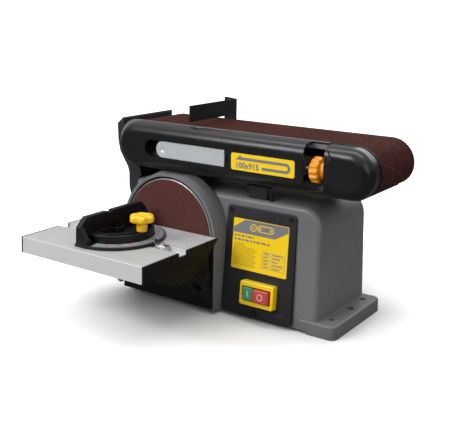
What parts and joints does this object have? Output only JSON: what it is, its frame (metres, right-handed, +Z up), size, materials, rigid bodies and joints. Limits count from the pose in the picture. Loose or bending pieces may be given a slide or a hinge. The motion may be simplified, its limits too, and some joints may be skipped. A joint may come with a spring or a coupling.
{
  "type": "belt and disc sander",
  "caption": "Bench-top combination sander: a tilting abrasive belt arm over a cast body, with a sanding disc, tilting table, mitre gauge and push-button switch.",
  "frame": {"origin": "centre of the four bench bolt holes, on the bench plane", "axes": "+X along the belt towards the idler end, -Y towards the operator (disc, table and switch side), +Z up"},
  "size_m": [0.4394, 0.3597, 0.2802],
  "materials": {
    "body_paint": "textured grey enamel",
    "black_steel": "satin black enamel",
    "table_alloy": "satin anodised",
    "disc_alloy": "machined",
    "machined_steel": "turned",
    "lever_silver": "silver paint",
    "abrasive": "brown oxide grit on cloth",
    "cover_plastic": "semi-gloss black",
    "black_plastic": "satin black",
    "knob_yellow": "moulded yellow",
    "label_yellow": "printed film",
    "button_green": "moulded green",
    "button_red": "moulded red",
    "lever_orange": "moulded orange",
    "scale_silver": "printed",
    "chrome_part": "bright",
    "rubber_belt": "ribbed",
    "cord_rubber": "smooth",
    "motor_iron": "plain",
    "motor_core": "laminated",
    "zinc_screws": "bright zinc",
    "black_screws": "black oxide",
    "fan_plastic": "moulded"
  },
  "bodies": {
    "base": {"base_casting": "body_paint", "bottom_plate": "black_steel", "motor_housing": "motor_iron", "motor_stator": "motor_core", "shaft_bearings": "machined_steel", "disc_guard": "black_steel", "tilt_pins": "machined_steel", "switch_panel": "black_plastic", "body_screws": "black_screws", "rating_plate": "label_yellow", "switch_frame": "knob_yellow", "switch_body": "black_plastic", "cord_bushing": "cord_rubber", "power_cord": "cord_rubber", "rest_bracket": "black_steel", "drum_hood": "black_plastic", "drum_bracket": "motor_iron", "transmission_belt": "rubber_belt", "drive_backplate": "black_steel", "drive_cover": "black_plastic"},
    "rotor": {"motor_shaft": "machined_steel", "motor_rotor": "motor_core", "motor_fan": "fan_plastic", "disc_plate": "disc_alloy", "sanding_disc": "abrasive", "motor_pulley": "disc_alloy"},
    "drive_drum_set": {"drum_shaft": "machined_steel", "drive_drum": "disc_alloy", "drum_pulley": "disc_alloy"},
    "table": {"table_top": "table_alloy", "table_end_plates": "black_plastic", "table_screws": "black_screws", "tilt_quadrant_right": "black_steel", "tilt_quadrant_left": "black_steel"},
    "tilt_lever": {"tilt_lock_lever": "lever_orange"},
    "mitre_slider": {"mitre_bar": "machined_steel", "mitre_screws": "zinc_screws", "mitre_pointer": "chrome_part"},
    "mitre_fence": {"mitre_head": "black_plastic", "mitre_scale": "scale_silver"},
    "mitre_clamp": {"mitre_knob": "knob_yellow"},
    "start": {"start_button": "button_green"},
    "stop": {"stop_button": "button_red"},
    "arm": {"arm_frame": "black_steel", "platen": "machined_steel", "arm_face_plate": "lever_silver", "front_cover": "cover_plastic", "direction_label": "label_yellow", "sanding_belt": "abrasive", "tension_pin": "machined_steel", "tension_spring": "machined_steel", "work_stop": "black_steel", "work_stop_screw": "zinc_screws"},
    "belt_lever": {"tension_lever": "lever_silver"},
    "carriage": {"tension_carriage": "motor_iron"},
    "tracker": {"tracking_knob": "knob_yellow"},
    "yoke": {"idler_yoke": "motor_iron", "idler_shaft": "machined_steel"},
    "idler": {"idler_drum": "disc_alloy", "idler_bearings": "machined_steel"}
  },
  "joints": [
    {"name": "rotor_spin", "type": "hinge", "parent": "base", "child": "rotor", "pos_m": [-0.085, 0, 0.10265], "axis": [0, -1, 0], "continuous": true},
    {"name": "drive_drum_spin", "type": "hinge", "parent": "base", "child": "drive_drum_set", "pos_m": [-0.1672, 0, 0.2167], "axis": [0, -1, 0], "continuous": true},
    {"name": "arm_tilt", "type": "hinge", "parent": "base", "child": "arm", "pos_m": [-0.1672, 0, 0.2167], "axis": [0, -1, 0], "range_deg": [0, 90]},
    {"name": "tension_lever_swing", "type": "hinge", "parent": "arm", "child": "belt_lever", "pos_m": [-0.003, -0.07, 0.216], "axis": [0, 0, 1], "range_deg": [0, 90]},
    {"name": "carriage_slide", "type": "slide", "parent": "arm", "child": "carriage", "axis": [1, 0, 0], "range_m": [-0.008, 0]},
    {"name": "tracking_knob_turn", "type": "hinge", "parent": "carriage", "child": "tracker", "pos_m": [0.145, -0.057, 0.2143], "axis": [1, 0, 0], "range_deg": [-180, 180]},
    {"name": "yoke_steer", "type": "hinge", "parent": "carriage", "child": "yoke", "pos_m": [0.133, 0, 0.2167], "axis": [0, 0, 1], "range_deg": [-0.5, 0.5]},
    {"name": "idler_spin", "type": "hinge", "parent": "yoke", "child": "idler", "pos_m": [0.1913, 0, 0.2167], "axis": [0, -1, 0], "continuous": true},
    {"name": "table_tilt", "type": "hinge", "parent": "base", "child": "table", "pos_m": [-0.085, -0.084, 0.101], "axis": [1, 0, 0], "range_deg": [0, 45]},
    {"name": "tilt_lock_turn", "type": "hinge", "parent": "base", "child": "tilt_lever", "pos_m": [-0.176, -0.1, 0.05], "axis": [1, 0, 0], "range_deg": [-75, 15]},
    {"name": "mitre_slide", "type": "slide", "parent": "table", "child": "mitre_slider", "axis": [1, 0, 0], "range_m": [-0.045, 0.045]},
    {"name": "mitre_swivel", "type": "hinge", "parent": "mitre_slider", "child": "mitre_fence", "pos_m": [-0.11, -0.165, 0.112], "axis": [0, 0, 1], "range_deg": [-60, 60]},
    {"name": "mitre_knob_turn", "type": "hinge", "parent": "mitre_slider", "child": "mitre_clamp", "pos_m": [-0.066, -0.165, 0.13], "axis": [0, 0, 1], "range_deg": [-180, 180]},
    {"name": "start_press", "type": "slide", "parent": "base", "child": "start", "axis": [0, 0.9951, -0.0984], "range_m": [0, 0.0025]},
    {"name": "stop_press", "type": "slide", "parent": "base", "child": "stop", "axis": [0, 0.9951, -0.0984], "range_m": [0, 0.003]}
  ],
  "couplings": [
    {"joint": "drive_drum_spin", "follows": "rotor_spin", "ratio": 0.5},
    {"joint": "idler_spin", "follows": "rotor_spin", "ratio": 0.5},
    {"joint": "tension_lever_swing", "follows": "carriage_slide", "rad_per_m": -196.35},
    {"joint": "yoke_steer", "follows": "tracking_knob_turn", "ratio": 0.0027778}
  ]
}
